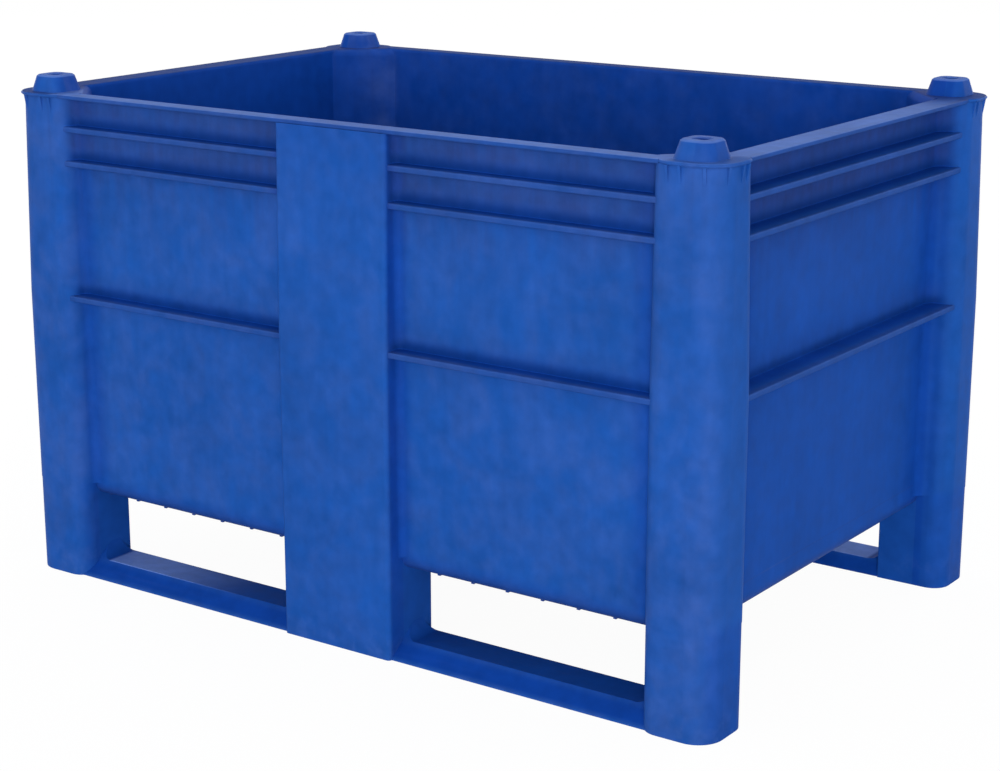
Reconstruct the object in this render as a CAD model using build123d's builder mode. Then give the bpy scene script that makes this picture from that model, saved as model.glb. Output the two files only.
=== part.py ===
from build123d import *
import os
from math import hypot, sqrt

# Pallet box: an open moulded box on hollow feet, with fork windows in its long sides.
# X runs along the long sides, Y across the box, Z up. The origin is on the floor under the box's middle.
# Lengths are in millimetres. Pieces that repeat are formed in the quarter where X and Y are positive.

# Overall sizes
box_length = 1200.0  # over the corner posts
box_width = 800.0
rim_height = 736.5  # floor to the top of the rim and collars
waist_height = 438.5  # top of the lowest rib: posts are upright below it and lean inwards above
rim_lean = 5.0  # how far each outer face has leaned in at the rim
face_recess = 2.0  # centre posts and rims stand this far behind the corner posts' faces

# Corner posts and their feet
post_length = 106.5  # along X
post_depth = 101.0  # along Y
post_corner_radius = 38.0  # outer corner of the box
post_edge_radius = 28.0  # the two edges beside the walls
post_skin = 6.0
long_cove = 12.0  # hollow curve where a post meets a long wall
end_cove = 20.0  # the same at an end wall
long_lap = 16.5  # how far the slanted inner face laps on to the long wall
end_lap = 15.5
inner_round = 12.0  # top edge of the slanted inner face
foot_inner_radius = 2.0
foot_inset = 0.5  # a foot stands this far inside the post above it
shoulder_step = 3.0  # the foot's shoulder under the deck stands this far inside the foot

# Collars and stacking pegs
collar_thickness = 5.0
collar_overhang = 6.0
collar_bevel = 2.0
fin_height = 25.0  # small gussets below a collar
fin_thickness = 4.0
fin_bite = 2.0
fins_per_face = 2
fins_round_corner = 2
peg_height = 23.5
peg_base = 60.0
peg_base_radius = 18.0
peg_top = 46.0
peg_top_radius = 14.0
peg_top_chamfer = 2.0
peg_inset_x = 53.0  # peg centre from the outer end face
peg_inset_y = 43.5  # peg centre from the outer long face
peg_recess = 22.0
peg_recess_radius = 5.0
peg_recess_depth = 5.0
spigot_width = 32.0
spigot_radius = 8.0
spigot_length = 16.0
spigot_clearance = 0.2

# Walls
long_setback = 32.7  # post face to the foot of a long wall's outer face
end_setback = 45.6
wall_base = 5.0  # wall thickness at the floor
wall_top = 9.0  # wall thickness at the rim
second_rib_drop = 97.0  # rim down to the top of the second rib
top_rib_drop = 47.0
rib_front = 8.0
rib_root = 10.0
rib_recess = 5.0  # rib edge behind the rim
rim_thickness = 6.0
edge_round = 2.0  # rib and rim edges
lip_round = 5.0  # the rim's inner edge

# Centre posts on the long sides
centre_width = 189.0
centre_depth = 100.0
centre_edge_radius = 6.0
centre_cove = 10.0
centre_web = 6.0

# Floor deck
floor_top = 164.0
floor_thickness = 7.0
skirt_bottom = 124.5
skirt_roll = 20.0  # outer radius of the rolled lower edge
skirt_thickness = 6.0
grid_bottom = 120.5
grid_rib = 4.5
grid_pitch_x = 57.0
grid_pitch_y = 53.0
grid_count_x = 18
grid_count_y = 12

# Runner sections between the feet
runner_height = 23.0
runner_recess = 7.3  # runner edge behind the post face
runner_base = 91.0
runner_land = 2.5  # upright strip at the outer lower edge
runner_ramp = 26.0
runner_heel = 11.0  # how far the inner face leans
runner_end_radius = 20.0
runner_skin = 5.0
runner_toe = 15.0  # solid edge below the ramp
runner_back = 10.0  # solid edge below the inner face
runner_web_count = 3
tongue_width = 36.0
tongue_height = 10.0
tongue_lift = 5.0
tongue_clearance = 0.2

# Places that follow from those sizes
half_length = box_length / 2
half_width = box_width / 2
return_x = half_length - post_length
return_y = half_width - post_depth
foot_return = return_x + foot_inset
half_centre = centre_width / 2
long_front = half_width - face_recess
end_front = half_length - face_recess
centre_back = long_front - centre_depth
long_base = half_width - long_setback
end_base = half_length - end_setback
long_inner = long_base - wall_base
end_inner = end_base - wall_base
floor_underside = floor_top - floor_thickness
roll_top = skirt_bottom + skirt_roll
rim_underside = rim_height - rim_thickness
collar_underside = rim_height - collar_thickness
collar_lip = collar_overhang - collar_bevel
rib_tops = (waist_height, rim_height - second_rib_drop, rim_height - top_rib_drop)
lean_middle = (waist_height + rim_height) / 2
post_heights = (roll_top, waist_height, lean_middle, rim_underside)
peg_x = half_length - peg_inset_x
peg_y = half_width - peg_inset_y
runner_edge = half_width - runner_recess
runner_inner = runner_edge - runner_base
runner_top_middle = runner_edge - (runner_ramp + runner_base - runner_heel) / 2

os.makedirs("parts", exist_ok=True)


def lean_at(height):
    """How far an outer face has leaned in at a height."""
    return rim_lean * max(0.0, height - waist_height) / (rim_height - waist_height)


def wall_at(height):
    """Wall thickness at a height: the inner face is upright and the outer one leans out."""
    return wall_base + (wall_top - wall_base) * (height - roll_top) / (rim_height - roll_top)


def edge_and_cove(setback, edge_radius, cove_radius):
    """The reversed curve from a post's face to a wall.

    Gives how far the cove runs past the post's return, and where the rounded edge turns into the cove,
    measured past the return and in from the face.
    """
    both = edge_radius + cove_radius
    reach = sqrt(both**2 - (both - setback) ** 2) - edge_radius
    share = edge_radius / both
    past = share * (reach + edge_radius) - edge_radius
    depth = edge_radius + share * (setback - both)
    return reach, past, depth


def corner_section(height):
    """Outline of a corner post at a height, wrapped round the ends of its two walls."""
    face_x = half_length - lean_at(height)
    face_y = half_width - lean_at(height)
    long_face = long_inner + wall_at(height)
    end_face = end_inner + wall_at(height)
    end_return = return_y + lean_at(height)
    reach, past, depth = edge_and_cove(face_y - long_face, post_edge_radius, long_cove)
    long_start = (return_x - reach, long_face)
    long_turn = (return_x - past, face_y - depth)
    reach, past, depth = edge_and_cove(face_x - end_face, post_edge_radius, end_cove)
    end_start = (end_face, end_return - reach)
    end_turn = (face_x - depth, end_return - past)
    long_edge = (return_x + post_edge_radius, face_y)
    long_corner = (face_x - post_corner_radius, face_y)
    end_corner = (face_x, face_y - post_corner_radius)
    end_edge = (face_x, end_return + post_edge_radius)
    with BuildSketch(Plane.XY.offset(height)) as section:
        with BuildLine():
            TangentArc(long_start, long_turn, tangent=(1, 0))
            TangentArc(long_edge, long_turn, tangent=(-1, 0))
            Line(long_edge, long_corner)
            TangentArc(long_corner, end_corner, tangent=(1, 0))
            Line(end_corner, end_edge)
            TangentArc(end_edge, end_turn, tangent=(0, -1))
            TangentArc(end_start, end_turn, tangent=(0, 1))
            Polyline(
                end_start,
                (end_face, end_return),
                (end_inner, end_return),
                (end_inner, return_y - end_lap),
                (return_x - long_lap, long_inner),
                (return_x, long_inner),
                (return_x, long_face),
                long_start,
            )
        make_face()
    return section.sketch


def corner_core(height):
    """Outline of the hollow inside a corner post, one skin in from its faces and its slanted inner face."""
    face_x = half_length - lean_at(height) - post_skin
    face_y = half_width - lean_at(height) - post_skin
    near_x = return_x + post_skin
    near_y = return_y + lean_at(height) + post_skin
    run_x = end_inner - (return_x - long_lap)
    run_y = long_inner - (return_y - end_lap)
    slant = hypot(run_x, run_y)
    slant_x = return_x - long_lap + post_skin * run_y / slant
    slant_y = long_inner + post_skin * run_x / slant
    low_y = slant_y - (near_x - slant_x) * run_y / run_x
    low_x = slant_x + (slant_y - near_y) * run_x / run_y
    with BuildSketch(Plane.XY.offset(height)) as core:
        Polygon(
            (near_x, low_y),
            (near_x, face_y),
            (face_x, face_y),
            (face_x, near_y),
            (low_x, near_y),
            align=None,
        )
        fillet(core.vertices().sort_by_distance((face_x, face_y))[0], post_corner_radius - post_skin)
        fillet(core.vertices().sort_by_distance((near_x, face_y))[0], post_edge_radius - post_skin)
        fillet(core.vertices().sort_by_distance((face_x, near_y))[0], post_edge_radius - post_skin)
    return core.sketch


def foot_section(inset, height):
    """Outline of a corner foot, or of the hollow a skin inside it."""
    with BuildSketch(Plane.XY.offset(height)) as section:
        with Locations((return_x + inset, return_y + inset)):
            Rectangle(post_length - 2 * inset, post_depth - 2 * inset, align=(Align.MIN, Align.MIN))
        fillet(section.vertices().sort_by_distance((half_length, half_width))[0], post_corner_radius - inset)
        fillet(section.vertices().sort_by_distance((return_x, half_width))[0], post_edge_radius - inset)
        fillet(section.vertices().sort_by_distance((half_length, return_y))[0], post_edge_radius - inset)
        fillet(section.vertices().sort_by_distance((return_x, return_y))[0], foot_inner_radius)
    return section.sketch


def collar_section(height, overhang):
    """Outline of a collar at a height, with its outer edges this far beyond the post's faces at the rim."""
    near_x = return_x + collar_overhang
    near_y = return_y + rim_lean + collar_overhang
    edge_x = half_length - rim_lean + overhang
    edge_y = half_width - rim_lean + overhang
    with BuildSketch(Plane.XY.offset(height)) as section:
        Polygon(
            (near_x, long_inner),
            (near_x, edge_y),
            (edge_x, edge_y),
            (edge_x, near_y),
            (end_inner, near_y),
            align=None,
        )
        fillet(section.vertices().sort_by_distance((edge_x, edge_y))[0], post_corner_radius + overhang)
        fillet(section.vertices().sort_by_distance((near_x, edge_y))[0], post_edge_radius)
        fillet(section.vertices().sort_by_distance((edge_x, near_y))[0], post_edge_radius)
    return section.sketch


def centre_section(height):
    """Outline of a centre post at a height: a flat face, rounded edges and coves on to the long wall."""
    face_y = long_front - lean_at(height)
    wall_face = long_inner + wall_at(height)
    with BuildSketch(Plane.XY.offset(height)) as section:
        with BuildLine():
            Line((0, face_y), (half_centre - centre_edge_radius, face_y))
            edge = TangentArc(
                (half_centre - centre_edge_radius, face_y),
                (half_centre, face_y - centre_edge_radius),
                tangent=(1, 0),
            )
            Line(edge @ 1, (half_centre, wall_face + centre_cove))
            cove = TangentArc(
                (half_centre, wall_face + centre_cove),
                (half_centre + centre_cove, wall_face),
                tangent=(0, -1),
            )
            Line(cove @ 1, (0, wall_face))
            mirror(about=Plane.YZ)
        make_face()
    return section.sketch


def centre_core(height):
    """Outline of the hollow inside a centre post, open to the wall behind it."""
    face_y = long_front - lean_at(height) - post_skin
    with BuildSketch(Plane.XY.offset(height)) as core:
        with Locations((0, long_inner)):
            Rectangle(centre_width - 2 * post_skin, face_y - long_inner, align=(Align.CENTER, Align.MIN))
    return core.sketch


def wall_section(plane, inner, rim_face):
    """Cut through a wall: a plate that thickens upwards, three ribs and the flat rim."""
    outline = [(inner, floor_top), (inner + wall_at(floor_top), floor_top)]
    for top in rib_tops:
        front = rim_face - lean_at(top) - rib_recess
        middle = top - rib_front / 2
        low_root = middle - rib_root / 2
        high_root = middle + rib_root / 2
        outline.append((inner + wall_at(low_root), low_root))
        outline.append((front, top - rib_front))
        outline.append((front, top))
        outline.append((inner + wall_at(high_root), high_root))
    outline.append((inner + wall_at(rim_underside), rim_underside))
    outline.append((rim_face - rim_lean, rim_underside))
    outline.append((rim_face - rim_lean, rim_height))
    outline.append((inner, rim_height))
    with BuildSketch(plane) as section:
        Polygon(*outline, align=None)
        proud = section.vertices().filter_by(lambda corner: corner.X > inner + wall_top + edge_round)
        fillet(proud, edge_round)
        fillet(section.vertices().sort_by_distance((inner, rim_height))[0], lip_round)
    return section.sketch


def skirt_section(plane, inner, base):
    """Cut through the deck's rolled edge, flush with the wall that stands on it."""
    lip = base - skirt_roll
    top = inner + wall_at(floor_top)
    with BuildSketch(plane) as section:
        with BuildLine():
            Line((top, floor_top), (base, roll_top))
            TangentArc((base, roll_top), (lip, skirt_bottom), tangent=(0, -1))
            Line((lip, skirt_bottom), (lip, skirt_bottom + skirt_thickness))
            TangentArc((inner, roll_top), (lip, skirt_bottom + skirt_thickness), tangent=(0, -1))
            Polyline((inner, roll_top), (inner, floor_top), (top, floor_top))
        make_face()
    return section.sketch


def tongue_section(plane, clearance):
    """End of a runner's tongue, or of the slot that takes it."""
    with BuildSketch(plane) as section:
        with Locations((runner_top_middle, tongue_lift + tongue_height / 2)):
            Rectangle(tongue_width + 2 * clearance, tongue_height + 2 * clearance)
    return section.sketch


def placed(form, x_side, y_side):
    """A form from the quarter where X and Y are positive, taken to another quarter."""
    copy = form if x_side > 0 else form.mirror(Plane.YZ)
    return copy if y_side > 0 else copy.mirror(Plane.XZ)


# Corner post without its collar, and with nothing hollowed out
with BuildPart() as corner_column:
    extrude(foot_section(foot_inset, 0), amount=roll_top)
    loft([corner_section(height) for height in post_heights], ruled=True)
    extrude(foot_section(shoulder_step, roll_top - post_skin), amount=floor_underside - roll_top + post_skin)
    extrude(corner_section(rim_underside), amount=rim_thickness)

# The space that a corner post takes up, which the pieces that meet it are cut by
with BuildPart() as corner_envelope:
    add(corner_column.part)
    extrude(collar_section(collar_underside, collar_overhang), amount=collar_thickness)

# Corner post: hollow from its foot up to the collar, with fins under the collar and slots for two parts
with BuildPart() as corner_form:
    add(corner_column.part)
    loft(
        [
            collar_section(collar_underside, collar_lip),
            collar_section(collar_underside + collar_bevel, collar_overhang),
            collar_section(rim_height - collar_bevel, collar_overhang),
            collar_section(rim_height, collar_lip),
        ],
        ruled=True,
    )
    socket = foot_section(foot_inset + post_skin, 0)
    extrude(socket, amount=floor_underside - post_skin, mode=Mode.SUBTRACT)
    core_bottom = floor_underside - 2 * post_skin
    core_heights = (core_bottom, waist_height, collar_underside)
    loft([corner_core(height) for height in core_heights], ruled=True, mode=Mode.SUBTRACT)
    face_x = half_length - lean_at(collar_underside)
    face_y = half_width - lean_at(collar_underside)
    corner_x = face_x - post_corner_radius
    corner_y = face_y - post_corner_radius
    long_start = return_x + post_edge_radius
    end_start = return_y + lean_at(collar_underside) + post_edge_radius
    fin_spots = []
    for number in range(fins_per_face):
        share = number / fins_per_face
        long_x = long_start + share * (corner_x - long_start)
        end_y = end_start + share * (corner_y - end_start)
        fin_spots.append((Vector(long_x, face_y, collar_underside), Vector(0, 1, 0)))
        fin_spots.append((Vector(face_x, end_y, collar_underside), Vector(1, 0, 0)))
    for number in range(fins_round_corner):
        outwards = Vector(1, 0, 0).rotate(Axis.Z, 90 * (number + 0.5) / fins_round_corner)
        middle = Vector(corner_x, corner_y, collar_underside)
        fin_spots.append((middle + outwards * post_corner_radius, outwards))
    slant_start = Vector(return_x - long_lap, long_inner, rim_height)
    slant_end = Vector(end_inner, return_y - end_lap, rim_height)
    slant = slant_end - slant_start
    into_post = Vector(0, 0, 1).cross(slant)
    with BuildSketch(Plane(slant_start, x_dir=into_post, z_dir=slant)):
        with Locations((-edge_round, edge_round)):
            Rectangle(inner_round + edge_round, inner_round + edge_round, align=(Align.MIN, Align.MAX))
        with Locations((inner_round, -inner_round)):
            Circle(inner_round, mode=Mode.SUBTRACT)
    extrude(amount=slant.length, mode=Mode.SUBTRACT)
    for spot, outwards in fin_spots:
        with BuildSketch(Plane(spot, x_dir=outwards, z_dir=outwards.cross(Vector(0, 0, 1)))):
            Polygon(
                (-fin_bite, 0),
                (collar_lip, 0),
                (0, -fin_height),
                (-fin_bite, -fin_height),
                align=None,
            )
        extrude(amount=fin_thickness / 2, both=True)
    with BuildSketch(Plane.XY.offset(collar_underside)):
        with Locations((peg_x, peg_y)):
            hole = spigot_width + 2 * spigot_clearance
            RectangleRounded(hole, hole, spigot_radius)
    extrude(amount=collar_thickness, mode=Mode.SUBTRACT)
    slot = tongue_section(Plane.YZ.offset(foot_return), tongue_clearance)
    extrude(slot, amount=post_skin, mode=Mode.SUBTRACT)

# Centre post with nothing hollowed out
with BuildPart() as centre_envelope:
    with BuildSketch():
        with Locations((0, centre_back)):
            Rectangle(centre_width, centre_depth, align=(Align.CENTER, Align.MIN))
    extrude(amount=floor_underside)
    fillet(centre_envelope.edges().filter_by(Axis.Z), centre_edge_radius)
    loft([centre_section(height) for height in (roll_top, waist_height, rim_underside)], ruled=True)

# Centre post: a channel against the long wall on a hollow foot with one web
with BuildPart() as centre_form:
    add(centre_envelope.part)
    channel_heights = (floor_underside, waist_height, rim_underside)
    loft([centre_core(height) for height in channel_heights], ruled=True, mode=Mode.SUBTRACT)
    cell = (centre_width - 2 * post_skin - centre_web) / 2
    with BuildSketch():
        with Locations((0, centre_back + centre_depth / 2)):
            with GridLocations(cell + centre_web, 0, 2, 1):
                Rectangle(cell, centre_depth - 2 * post_skin)
    extrude(amount=floor_underside - post_skin, mode=Mode.SUBTRACT)
    for side in (-1, 1):
        slot_plane = Plane.YZ.offset(side * half_centre)
        extrude(tongue_section(slot_plane, tongue_clearance), amount=-side * post_skin, mode=Mode.SUBTRACT)

# Stacking peg: a tapered cap with a recess in its top and a spigot that plugs the post
with BuildPart() as peg_form:
    with BuildSketch(Plane.XY.offset(rim_height)) as peg_foot:
        with Locations((peg_x, peg_y)):
            RectangleRounded(peg_base, peg_base, peg_base_radius)
    with BuildSketch(Plane.XY.offset(rim_height + peg_height)) as peg_head:
        with Locations((peg_x, peg_y)):
            RectangleRounded(peg_top, peg_top, peg_top_radius)
    loft(ruled=True)
    chamfer(peg_form.faces().sort_by(Axis.Z)[-1].edges(), peg_top_chamfer)
    with BuildSketch(Plane.XY.offset(rim_height + peg_height)):
        with Locations((peg_x, peg_y)):
            RectangleRounded(peg_recess, peg_recess, peg_recess_radius)
    extrude(amount=-peg_recess_depth, mode=Mode.SUBTRACT)
    with BuildSketch(Plane.XY.offset(rim_height)):
        with Locations((peg_x, peg_y)):
            RectangleRounded(spigot_width, spigot_width, spigot_radius)
    extrude(amount=-spigot_length)

# Runner section: a low ramped sill, hollow below between webs, whose ends curve up against the feet
# and wrap round the corner foot's edge
with BuildPart() as runner_form:
    end_top = runner_height + runner_end_radius
    sill_start = half_centre + runner_end_radius
    sill_end = foot_return - runner_end_radius
    wrap_end = return_x + post_edge_radius
    with BuildSketch(Plane.XZ.offset(-runner_edge)):
        with BuildLine():
            Polyline(
                (half_centre, end_top),
                (half_centre, 0),
                (wrap_end, 0),
                (wrap_end, end_top),
                (foot_return, end_top),
            )
            TangentArc((foot_return, end_top), (sill_end, runner_height), tangent=(0, -1))
            Line((sill_end, runner_height), (sill_start, runner_height))
            TangentArc((half_centre, end_top), (sill_start, runner_height), tangent=(0, -1))
        make_face()
    extrude(amount=runner_base)
    ramp_slope = runner_ramp / (runner_height - runner_land)
    heel_slope = runner_heel / runner_height
    with BuildSketch(Plane.YZ.offset(half_centre)):
        Polygon(
            (runner_inner, 0),
            (runner_edge, 0),
            (runner_edge, runner_land),
            (runner_edge - ramp_slope * (end_top - runner_land), end_top),
            (runner_inner + heel_slope * end_top, end_top),
            align=None,
        )
    extrude(amount=wrap_end - half_centre, mode=Mode.INTERSECT)
    add(corner_column.part, mode=Mode.SUBTRACT)
    cells = runner_web_count + 1
    cell_pitch = (foot_return - half_centre - runner_skin) / cells
    roof = runner_height - runner_skin
    for number in range(cells):
        with BuildSketch(Plane.YZ.offset(half_centre + runner_skin + number * cell_pitch)):
            Polygon(
                (runner_inner + runner_back, 0),
                (runner_edge - runner_toe, 0),
                (runner_edge - runner_ramp - runner_skin, roof),
                (runner_inner + runner_heel + runner_skin, roof),
                align=None,
            )
        extrude(amount=cell_pitch - runner_skin, mode=Mode.SUBTRACT)
    extrude(tongue_section(Plane.YZ.offset(foot_return), 0), amount=post_skin)
    extrude(tongue_section(Plane.YZ.offset(half_centre), 0), amount=-post_skin)

# Long wall: one section run between the corner posts, with the ribs stopped at the centre post
with BuildPart() as long_wall_form:
    extrude(wall_section(Plane.YZ, long_inner, long_front), amount=return_x + post_edge_radius, both=True)
    add(centre_envelope.part, mode=Mode.SUBTRACT)
    for side in (-1, 1):
        add(placed(corner_envelope.part, side, 1), mode=Mode.SUBTRACT)

# End wall: the same kind of section run across the box
with BuildPart() as end_wall_form:
    extrude(wall_section(Plane.XZ, end_inner, end_front), amount=return_y + post_edge_radius, both=True)
    for side in (-1, 1):
        add(placed(corner_envelope.part, 1, side), mode=Mode.SUBTRACT)

# Floor deck: a plate with rolled edges and a grid of ribs below, notched for the posts and feet
with BuildPart() as floor_deck:
    with BuildSketch(Plane.XY.offset(floor_underside)):
        Rectangle(2 * end_base, 2 * long_base)
    extrude(amount=floor_thickness)
    extrude(skirt_section(Plane.YZ, long_inner, long_base), amount=return_x, both=True)
    extrude(skirt_section(Plane.XZ, end_inner, end_base), amount=return_y, both=True)
    mirror(about=Plane.XZ)
    mirror(about=Plane.YZ)
    lip_x = end_base - skirt_roll
    lip_y = long_base - skirt_roll
    with BuildSketch(Plane.XY.offset(grid_bottom)):
        with GridLocations(grid_pitch_x, 0, grid_count_x, 1):
            Rectangle(grid_rib, 2 * lip_y)
        with GridLocations(0, grid_pitch_y, 1, grid_count_y):
            Rectangle(2 * lip_x, grid_rib)
    extrude(amount=floor_underside - grid_bottom)
    for y_side in (-1, 1):
        add(placed(centre_envelope.part, 1, y_side), mode=Mode.SUBTRACT)
        for x_side in (-1, 1):
            add(placed(corner_envelope.part, x_side, y_side), mode=Mode.SUBTRACT)
floor_deck.part.label = "floor_deck"
export_step(floor_deck.part, "parts/floor_deck.step")

# Every repeated piece, written from its form in each place
quarter_forms = (("corner_post", corner_form), ("stacking_peg", peg_form), ("runner", runner_form))
for y_name, y_side in (("front", -1), ("rear", 1)):
    with BuildPart() as long_wall:
        add(placed(long_wall_form.part, 1, y_side))
    long_wall.part.label = f"{y_name}_wall"
    export_step(long_wall.part, f"parts/{y_name}_wall.step")
    with BuildPart() as centre_post:
        add(placed(centre_form.part, 1, y_side))
    centre_post.part.label = f"{y_name}_centre_post"
    export_step(centre_post.part, f"parts/{y_name}_centre_post.step")
    for x_name, x_side in (("left", -1), ("right", 1)):
        for piece, form in quarter_forms:
            name = f"{y_name}_{x_name}_{piece}"
            with BuildPart() as quarter_piece:
                add(placed(form.part, x_side, y_side))
            quarter_piece.part.label = name
            export_step(quarter_piece.part, f"parts/{name}.step")
for x_name, x_side in (("left", -1), ("right", 1)):
    with BuildPart() as end_wall:
        add(placed(end_wall_form.part, x_side, 1))
    end_wall.part.label = f"{x_name}_end_wall"
    export_step(end_wall.part, f"parts/{x_name}_end_wall.step")
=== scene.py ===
from math import cos, radians, sin

import bmesh
import bpy
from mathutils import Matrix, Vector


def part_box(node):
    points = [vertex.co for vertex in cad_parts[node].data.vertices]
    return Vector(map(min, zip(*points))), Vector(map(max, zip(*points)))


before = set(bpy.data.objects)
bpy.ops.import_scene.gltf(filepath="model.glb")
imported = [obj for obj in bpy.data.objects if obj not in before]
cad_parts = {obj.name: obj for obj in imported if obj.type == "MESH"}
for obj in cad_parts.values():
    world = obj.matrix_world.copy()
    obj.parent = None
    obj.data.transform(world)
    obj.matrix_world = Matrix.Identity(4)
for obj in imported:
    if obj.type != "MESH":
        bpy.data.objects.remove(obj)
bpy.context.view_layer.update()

# Floor deck
# The load floor of the box, one polyethylene moulding with a rolled edge and a grid of ribs below.
# It is moulded in the same blue as the rest, and loads slide over it, so its top is scratched.


class Signal:
    """An output socket in a material. Operators on it add Math nodes, and node() adds any other node."""

    def __init__(self, tree, socket=None):
        self.tree = tree
        self.socket = socket

    def node(self, kind, settings, inputs, output=0):
        """Adds a node: its settings first, then the values or links of its sockets."""
        made = self.tree.nodes.new(kind)
        for name, value in settings.items():
            setattr(made, name, value)
        for name, value in inputs.items():
            if isinstance(value, Signal):
                self.tree.links.new(value.socket, made.inputs[name])
            else:
                made.inputs[name].default_value = value
        return Signal(self.tree, made.outputs[output] if made.outputs else None)

    def maths(self, operation, first, second):
        """Adds a Math node on two values."""
        return self.node("ShaderNodeMath", {"operation": operation}, {0: first, 1: second})

    def __add__(self, other):
        return self.maths("ADD", self, other)

    def __radd__(self, other):
        return self.maths("ADD", other, self)

    def __sub__(self, other):
        return self.maths("SUBTRACT", self, other)

    def __rsub__(self, other):
        return self.maths("SUBTRACT", other, self)

    def __mul__(self, other):
        return self.maths("MULTIPLY", self, other)

    def __rmul__(self, other):
        return self.maths("MULTIPLY", other, self)

    def __abs__(self):
        return self.node("ShaderNodeMath", {"operation": "ABSOLUTE"}, {0: self})

    def most(self, other):
        """The larger of two values."""
        return self.maths("MAXIMUM", self, other)

    def part(self, axis):
        """One coordinate of a vector."""
        return self.node("ShaderNodeSeparateXYZ", {}, {"Vector": self}, axis)

    def between(self, low, high):
        """0 at low and 1 at high, with a soft run between, whichever of the two is larger."""
        settings = {"interpolation_type": "SMOOTHSTEP"}
        return self.node("ShaderNodeMapRange", settings, {"Value": self, "From Min": low, "From Max": high})

    def band(self, start, full, fade, end):
        """Rises from 0 at start to 1 at full, and falls from 1 at fade to 0 at end."""
        return self.between(start, full) * self.between(end, fade)

    def noise(self, scale, detail=2.0, stretch=(1.0, 1.0, 1.0), swirl=0.0):
        """Soft noise at these coordinates, about 0 to 1, so many times a metre."""
        scaled = self.node("ShaderNodeMapping", {}, {"Vector": self, "Scale": stretch})
        inputs = {"Vector": scaled, "Scale": scale, "Detail": detail, "Distortion": swirl}
        return self.node("ShaderNodeTexNoise", {}, inputs)

    def blended(self, first, second, share):
        """One colour turned into another by a share."""
        return self.node("ShaderNodeMix", {"data_type": "RGBA"}, {0: share, 6: first, 7: second}, 2)


def new_finish(name):
    """An empty material and the Object coordinates that its patterns follow."""
    material = bpy.data.materials.new(name)
    material.use_nodes = True
    material.node_tree.nodes.clear()
    return material, Signal(material.node_tree).node("ShaderNodeTexCoord", {}, {}, "Object")


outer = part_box("rear_right_corner_post")[1]  # outermost corner of a post, which the depths are taken from
long_wall_low, long_wall_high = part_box("rear_wall")
end_wall_low, end_wall_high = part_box("right_end_wall")
long_inner = long_wall_low.y  # inner face of a long wall
long_end = long_wall_high.x  # where a long wall ends in a corner post
end_inner = end_wall_low.x  # the same two for an end wall
end_end = end_wall_high.y
centre_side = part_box("rear_centre_post")[1].x
deck_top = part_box("floor_deck")[1].z
rim_top = long_wall_high.z
peg_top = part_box("rear_right_stacking_peg")[1].z
first_rib = 0.4385  # tops of a wall's three ribs, from the lowest up
second_rib = rim_top - 0.097
third_rib = rim_top - 0.047


def above_ribs(height, start, full, fade, end):
    """A band with soft edges at these heights over the top of each of a wall's three ribs."""
    tops = (first_rib, second_rib, third_rib)
    return sum(height.band(top + start, top + full, top + fade, top + end) for top in tops)


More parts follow.
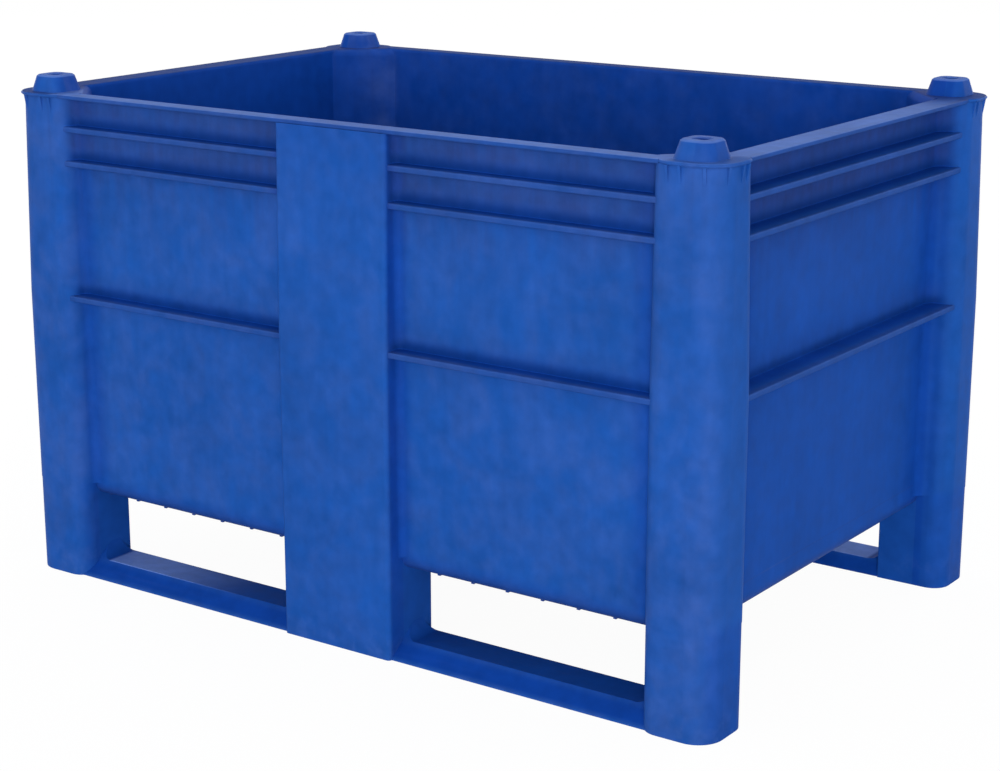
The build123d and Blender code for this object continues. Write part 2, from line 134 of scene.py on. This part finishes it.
class Weathering:
    """How the box has aged, and where light and shade are painted on it, by place alone, so that it runs on
    from piece to piece.

    Along, across and height are metres from the middle of the box and from the floor, and the two depths are
    metres back from the outermost faces of the posts. All else is a share, mostly from 0 to 1.
    """

    def __init__(self, place):
        self.place = place
        self.along = abs(place.part("X"))
        self.across = abs(place.part("Y"))
        self.height = place.part("Z")
        self.long_depth = outer.y - self.across
        self.end_depth = outer.x - self.along
        self.long_side = self.across.between(long_inner + 0.001, long_inner + 0.004)
        self.end_side = self.along.between(end_inner + 0.001, end_inner + 0.004)
        self.outside = self.long_side.most(self.end_side)
        self.inside = self.height.between(deck_top - 0.014, deck_top - 0.004) * (1.0 - self.outside)
        self.set_back = self.long_depth.between(0.009, 0.027) * self.end_depth.between(0.011, 0.035)
        self.creases = above_ribs(self.height, start=-0.002, full=-0.0005, fade=0.002, end=0.024)
        over_rim = self.height - rim_top
        self.rim_face = over_rim.band(-0.0012, -0.0002, 0.0001, 0.0005)
        # The front and right sides get a painted highlight on the rim, the rear and left sides a painted
        # shade there.
        off_left_end = place.part("X").between(-end_inner, 0.060 - end_inner)
        off_rear_side = place.part("Y").between(long_inner - 0.030, long_inner - 0.170)
        self.near_sides = off_left_end * off_rear_side
        smears = place.noise(10.0, detail=4.0, swirl=1.4).between(0.30, 0.80)
        spots = place.noise(1.0, detail=3.0, stretch=(44.0, 44.0, 26.0)).between(0.35, 0.75)
        self.film = smears + 0.6 * spots

    def haze_and_painted_light(self):
        """The chalky film of sun and handling on open faces, thicker on proud faces, with a painted
        highlight round the corner posts and painted shade on the end faces.
        """
        # Painted highlight: extra chalky film on the rounded corners of the corner posts.
        corner_highlight = self.end_depth.between(0.060, 0.010) * self.long_depth.between(0.060, 0.010)
        # Painted shade: much less film on the end faces.
        shaded_end_face = self.end_side * self.long_depth.between(0.004, 0.040)
        centre_post = self.along.between(centre_side + 0.004, centre_side - 0.004)
        centre_face = centre_post * self.long_depth.between(0.014, 0.006)
        handling_and_shade = (1.35 - 0.35 * self.set_back) * (1.0 - 0.70 * shaded_end_face) * (1.0 - 0.40 * centre_face)
        return 0.22 * self.film * self.outside * handling_and_shade + 0.12 * corner_highlight

    def painted_shade(self):
        """Painted shade: a darker blue on what the light reaches less.

        That is the inside, what is under the deck, the set-back ends, the creases over the ribs, the walls
        where they run into the corner posts, and the sides of the centre posts.
        """
        below_deck = self.height.between(deck_top - 0.004, deck_top - 0.024)
        under_deck = below_deck * self.long_depth.between(0.005, 0.020)
        in_recess = (0.46 * self.end_side).most(0.92 * self.creases) * self.set_back
        by_post = self.along.band(long_end - 0.060, long_end - 0.022, long_end + 0.010, long_end + 0.030)
        long_cove = self.long_side * by_post * self.long_depth.between(0.018, 0.030)
        by_end_post = self.across.band(end_end - 0.170, end_end - 0.030, end_end + 0.010, end_end + 0.030)
        end_cove = self.end_side * by_end_post * self.end_depth.between(0.029, 0.041)
        by_centre_post = self.along.between(centre_side + 0.012, centre_side - 0.008)
        centre_flank = self.long_side * by_centre_post * self.long_depth.between(0.005, 0.014)
        in_corners = (0.55 * long_cove).most(0.80 * end_cove).most(0.70 * centre_flank)
        return self.inside.most(0.35 * under_deck).most(in_recess).most(in_corners)

    def scuffs(self):
        """What loads leave on the inside, by the long walls and most of all on the left slanted corners."""
        slant = long_inner + end_inner - 0.062
        slanted_corner = (self.along + self.across).between(slant - 0.020, slant - 0.004)
        at_left = self.place.part("X").between(0.10, -0.30)
        by_long_wall = self.across.between(long_inner - 0.050, long_inner - 0.005)
        return self.inside * self.film * (0.01 + 0.11 * by_long_wall + 0.42 * slanted_corner * at_left)

    def dust_and_shade(self):
        """Dust on the outsides of the walls, over each rib and in upright runs below the rim, with painted
        shade in the same bands.

        The rim of the rear and left sides is also painted darker, as shade.
        """
        runs = self.place.noise(1.0, detail=3.0, stretch=(85.0, 85.0, 6.0)).between(0.25, 0.75)
        patches = self.place.noise(9.0, detail=3.0).between(0.25, 0.75)
        over_ribs = above_ribs(self.height, start=-0.002, full=-0.0005, fade=0.0, end=0.045)
        below_rim = self.height.band(second_rib - 0.004, second_rib + 0.004, rim_top - 0.012, rim_top)
        drawn_down = self.height.band(second_rib - 0.120, second_rib, second_rib - 0.010, second_rib)
        held = 0.25 * over_ribs + (0.36 + 0.26 * runs) * below_rim
        settled = held * (0.6 + 0.4 * patches) + 0.28 * runs * drawn_down
        on_walls = settled * (1.0 - 0.92 * self.creases) * self.set_back * self.outside
        return on_walls + 0.5 * self.rim_face * (1.0 - self.near_sides)

    def wear_and_highlight(self):
        """A painted highlight: the pale top edge of the pegs, and the pale rim on the front and right sides.

        The collars' narrow strips outside the pegs get less of it.
        """
        peg_edge = self.height.between(peg_top - 0.003, peg_top - 0.001)
        long_strip = self.long_depth.between(0.030, 0.016) * self.end_depth.between(0.090, 0.070)
        end_strip = self.end_depth.between(0.036, 0.022) * self.long_depth.between(0.090, 0.070)
        highlit_rim = self.rim_face * self.near_sides * (1.0 - 0.8 * long_strip.most(end_strip))
        patches = 0.7 + 0.3 * self.place.noise(60.0, detail=3.0)
        return (0.66 * highlit_rim + 0.50 * peg_edge) * patches

    def crease_shade(self):
        """Painted shade: the dark line in the crease just over each rib."""
        line = above_ribs(self.height, start=0.0005, full=0.003, fade=0.004, end=0.020)
        return 0.34 * line * self.set_back * self.outside


moulding_blue = (0.0092, 0.0735, 0.336, 1.0)
# Partly painted highlight: this chalky blue also lights the corner posts' rounded corners.
chalky_and_highlight_blue = (0.0550, 0.1080, 0.350, 1.0)
# Painted shade: this darker blue stands for shade inside, under the deck, in recesses, creases and coves.
painted_shade_blue = (0.0035, 0.0460, 0.300, 1.0)
# Partly painted shade: this dusty blue also darkens the bands by the ribs and rim, the far rims and the
# ribs' front faces.
dust_and_shade_blue = (0.0250, 0.0385, 0.150, 1.0)
# Partly painted highlight: this palest blue is also the highlight on the near rims, the pegs' edges and the
# ribs' corners.
wear_and_highlight_blue = (0.150, 0.260, 0.660, 1.0)


def moulded_blue(place, painted_shade=0.0, dust_and_shade=0.0, wear_and_highlight=0.0):
    """Satin blue polyethylene: clouded colour, flow streaks down the faces and a fine grain, weathered, with
    painted shade and highlights.

    The three shares are a piece's own painted shade, its own dust with painted shade, and its own wear with
    painted highlight, beyond the weathering and painted light that all pieces share.
    """
    weathering = Weathering(place)
    all_dust_and_shade = weathering.dust_and_shade() + dust_and_shade
    all_wear_and_highlight = weathering.wear_and_highlight() + wear_and_highlight
    # The haze also paints highlight and shade, the darker blue is painted shade, the dust also paints shade,
    # and the wear also paints highlights.
    layers = (
        (chalky_and_highlight_blue, weathering.haze_and_painted_light()),
        (painted_shade_blue, weathering.painted_shade().most(painted_shade)),
        (chalky_and_highlight_blue, weathering.scuffs()),
        (dust_and_shade_blue, all_dust_and_shade),
        (wear_and_highlight_blue, all_wear_and_highlight),
    )
    aged = moulding_blue
    for layer_colour, share in layers:
        aged = place.blended(aged, layer_colour, share)
    clouds = place.noise(7.0, detail=4.0)
    mottle = place.noise(46.0, detail=3.0)
    streaks = place.noise(1.0, detail=3.0, stretch=(70.0, 70.0, 3.0))
    tone = 1.0 + 0.40 * (clouds - 0.5) + 0.42 * (mottle - 0.5) + 0.14 * (streaks - 0.5)
    # Painted shade: darker along the crease over each rib.
    shade = tone * (1.0 - weathering.crease_shade())
    colour = place.node("ShaderNodeVectorMath", {"operation": "SCALE"}, {0: aged, "Scale": shade})
    swell = place.noise(9.0)
    grain = place.noise(650.0)
    relief = swell + 0.035 * mottle + 0.012 * grain
    bump = place.node("ShaderNodeBump", {}, {"Strength": 0.5, "Distance": 0.004, "Height": relief})
    surface = place.node(
        "ShaderNodeBsdfPrincipled",
        {},
        {
            "Base Color": colour,
            "Roughness": 0.50 + 0.20 * (mottle - 0.5) + 0.12 * all_dust_and_shade + 0.10 * all_wear_and_highlight,
            "Normal": bump,
            "IOR": 1.5,
            "Specular IOR Level": 0.018,
        },
    )
    place.node("ShaderNodeOutputMaterial", {}, {"Surface": surface})


def dress(material, names):
    """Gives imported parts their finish."""
    for name in names:
        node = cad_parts[name]
        node.data.materials.clear()
        node.data.materials.append(material)


deck_finish, place = new_finish("deck_moulding")
clear_of_walls = abs(place.part("Y")).between(long_inner, long_inner - 0.002)
on_top = place.part("Z").between(deck_top - 0.003, deck_top - 0.001) * clear_of_walls
# The grid under the deck is made darker.
in_grid = place.part("Z").between(deck_top - 0.014, deck_top - 0.038)
drifts = 0.10 + 0.20 * place.noise(5.0, detail=3.0)
scrapes_along = place.noise(1.0, stretch=(4.0, 160.0, 1.0)).between(0.60, 0.72)
scrapes_across = place.noise(1.0, stretch=(160.0, 4.0, 1.0)).between(0.62, 0.74)
moulded_blue(
    place,
    dust_and_shade=on_top * drifts + 0.40 * in_grid,
    wear_and_highlight=on_top * (0.10 * scrapes_along + 0.08 * scrapes_across),
)
dress(deck_finish, ["floor_deck"])

# Corner posts
# Hollow columns moulded in one with the feet, round outside and coved on to the walls on each side.
# Rain and dust run down below the finned collars, and the feet are rubbed where they stand and slide.


def at_corners(piece):
    """The names of the four like pieces, one in each quarter of the box."""
    return [f"{side}_{end}_{piece}" for side in ("front", "rear") for end in ("left", "right")]


def rubbed_foot(place):
    """Pale patches on the lowest 70 mm of a foot."""
    near_floor = place.part("Z").between(0.07, 0.0)
    patches = place.noise(55.0, detail=4.0).between(0.50, 0.66)
    return 0.05 * near_floor * patches


post_finish, place = new_finish("post_moulding")
runs = place.noise(1.0, stretch=(110.0, 110.0, 5.0)).between(0.45, 0.75)
below_collar = place.part("Z").between(rim_top - 0.160, rim_top - 0.030)
moulded_blue(place, dust_and_shade=(0.02 + 0.10 * below_collar) * runs, wear_and_highlight=rubbed_foot(place))
dress(post_finish, at_corners("corner_post"))

# Centre posts
# Flat channels moulded on the middle of each long wall, closed at the top by the rim, on a hollow foot.
# Their broad faces are clean, and only the foot is rubbed by the forks that pass beside it.
centre_finish, place = new_finish("centre_post_moulding")
moulded_blue(place, dust_and_shade=0.02 * place.noise(12.0, detail=3.0), wear_and_highlight=rubbed_foot(place))
dress(centre_finish, ["front_centre_post", "rear_centre_post"])

# Long walls
# Smooth plates with three ribs and a flat rim, moulded with the posts at both ends and in the middle.
# The ribs' front edges are painted darker as shade, and only their upper corner has a painted highlight.


def rib_edges(place, axis, rim_front):
    """Painted shade on the front faces of a wall's ribs and rim, and a faint painted highlight on the ribs'
    upper corners, on the axis through the wall.
    """
    in_front = abs(place.part(axis)).between(rim_front - 0.012, rim_front - 0.006)
    upper_corners = above_ribs(place.part("Z"), start=-0.003, full=-0.001, fade=0.0, end=0.001)
    return 0.30 * in_front, 0.05 * in_front * upper_corners


long_finish, place = new_finish("long_wall_moulding")
rib_front_shade, rib_corner_highlight = rib_edges(place, "Y", long_wall_high.y)
moulded_blue(place, dust_and_shade=rib_front_shade, wear_and_highlight=rib_corner_highlight)
dress(long_finish, ["front_wall", "rear_wall"])

# End walls
# The same ribbed plates across the two short sides, moulded with the corner posts and set further back.
# Their ribs' front edges carry the same painted shade, and the plates are painted a deeper blue as shade.
end_finish, place = new_finish("end_wall_moulding")
rib_front_shade, rib_corner_highlight = rib_edges(place, "X", end_wall_high.x)
moulded_blue(place, dust_and_shade=rib_front_shade, wear_and_highlight=rib_corner_highlight)
dress(end_finish, ["left_end_wall", "right_end_wall"])

# Stacking pegs
# Tapered polyethylene caps that plug the four collars, so that the hollow feet of another box sit over them.
# Their upper edges are painted pale as a highlight.
peg_finish, place = new_finish("peg_moulding")
moulded_blue(place, dust_and_shade=0.08 * place.noise(40.0, detail=3.0))
dress(peg_finish, at_corners("stacking_peg"))

# Runners
# Low ramped sills of the same plastic that tie the feet together on each long side, under the fork windows.
# Forks drag over them and scrape them. The level sill tops are painted paler as light at their outer ends on
# all but the front right one, and the faces set in from the outer edge are painted darker as shade.
sill_top = 0.023
sill_end = 0.476  # where the level sill curves up to the corner foot
runner_finish, place = new_finish("runner_moulding")
height = place.part("Z")
# Painted shade: the faces set in from the outer edge are darkened, less so on the sill.
in_from_edge = abs(place.part("Y")).between(outer.y - 0.006, outer.y - 0.014)
on_sill = height.between(sill_top - 0.007, sill_top - 0.001)
dirty = place.noise(11.0, detail=3.0).between(0.45, 0.75)
dragged = place.noise(1.0, detail=3.0, stretch=(5.0, 140.0, 60.0)).between(0.52, 0.72)
# Painted light: the level sill tops are made paler at their outer ends.
level_top = height.band(sill_top - 0.0012, sill_top - 0.0002, sill_top + 0.0006, sill_top + 0.0030)
outer_end = abs(place.part("X")).band(0.18, 0.44, sill_end - 0.008, sill_end)
not_front_right = place.part("X").between(0.05, -0.05).most(place.part("Y").between(-0.05, 0.05))
sill_end_light = level_top * outer_end * not_front_right * (0.80 + 0.40 * dirty)
moulded_blue(
    place,
    painted_shade=in_from_edge * (1.0 - 0.4 * on_sill),
    dust_and_shade=0.02 + 0.08 * on_sill * dirty,
    wear_and_highlight=0.012 * dragged + 1.1 * sill_end_light,
)
dress(runner_finish, at_corners("runner"))

# Studio
# A plain white floor under a white surround, brightest low down, both white where they are seen directly.
# One softbox behind the camera lights the near sides, and two weaker ones light the far sides.
floor_reach = 30.0
ground = bpy.data.meshes.new("studio_floor")
sheet = bmesh.new()
bmesh.ops.create_grid(sheet, x_segments=1, y_segments=1, size=floor_reach)
sheet.to_mesh(ground)
sheet.free()
studio_floor = bpy.data.objects.new("studio_floor", ground)
bpy.context.scene.collection.objects.link(studio_floor)


def seen_directly(start):
    """1 for rays from the camera and for those that a gloss or glass surface sends on, otherwise 0."""
    camera_ray = start.node("ShaderNodeLightPath", {}, {}, "Is Camera Ray")
    gloss_ray = start.node("ShaderNodeLightPath", {}, {}, "Is Glossy Ray")
    glass_ray = start.node("ShaderNodeLightPath", {}, {}, "Is Transmission Ray")
    return camera_ray.most(gloss_ray).most(glass_ray)


pure_white = (1.0, 1.0, 1.0, 1.0)
paper_grey = (0.75, 0.75, 0.75, 1.0)
floor_glow = 1.03
glow_share = 0.93
floor_finish, place = new_finish("studio_floor")
paper = place.node("ShaderNodeBsdfDiffuse", {}, {"Color": paper_grey})
white = place.node("ShaderNodeEmission", {}, {"Color": pure_white, "Strength": floor_glow})
lit = place.node("ShaderNodeMixShader", {}, {0: glow_share * seen_directly(place), 1: paper, 2: white})
place.node("ShaderNodeOutputMaterial", {}, {"Surface": lit})
ground.materials.append(floor_finish)

surround = bpy.data.worlds.new("studio")
bpy.context.scene.world = surround
surround.use_nodes = True
surround.node_tree.nodes.clear()
start = Signal(surround.node_tree)


def white_light(strength):
    """An even white surround."""
    return start.node("ShaderNodeBackground", {}, {"Color": pure_white, "Strength": strength})


low_light = white_light(1.30)
high_light = white_light(0.50)
backdrop = white_light(1.0)
upwards = start.node("ShaderNodeTexCoord", {}, {}, "Generated").part("Z").between(0.0, 1.0)
graded = start.node("ShaderNodeMixShader", {}, {0: upwards, 1: low_light, 2: high_light})
light = start.node("ShaderNodeMixShader", {}, {0: seen_directly(start), 1: graded, 2: backdrop})
start.node("ShaderNodeOutputWorld", {}, {"Surface": light})

softbox_size = 3.2
softbox_distance = 8.72
softbox_height = 1.63
softbox_tilt = 82
softboxes = (
    ("near_softbox", -57, 355.0),
    ("rear_softbox", 85, 190.0),
    ("left_softbox", 165, 140.0),
)
for name, heading, power in softboxes:
    softbox = bpy.data.lights.new(name, "AREA")
    softbox.shape = "SQUARE"
    softbox.size = softbox_size
    softbox.energy = power
    lamp = bpy.data.objects.new(name, softbox)
    lamp_x = softbox_distance * cos(radians(heading))
    lamp_y = softbox_distance * sin(radians(heading))
    lamp.location = (lamp_x, lamp_y, softbox_height)
    lamp.rotation_euler = (radians(softbox_tilt), 0, radians(heading + 90))
    bpy.context.scene.collection.objects.link(lamp)

# Camera
# The photograph's viewpoint: out from the near right corner and higher than the rim, through a fairly long
# lens that looks down by 15 degrees and isn't rolled to either side.
viewpoint = (1.8452, -2.6155, 1.1514)
look_down = 15.02
look_left = 35.2
lens = bpy.data.cameras.new("camera")
lens.sensor_width = 36.0
lens.lens = 78.84
camera = bpy.data.objects.new("camera", lens)
camera.location = viewpoint
camera.rotation_euler = (radians(90 - look_down), 0, radians(look_left))
bpy.context.scene.collection.objects.link(camera)
bpy.context.scene.camera = camera
bpy.context.scene.view_settings.view_transform = "Standard"
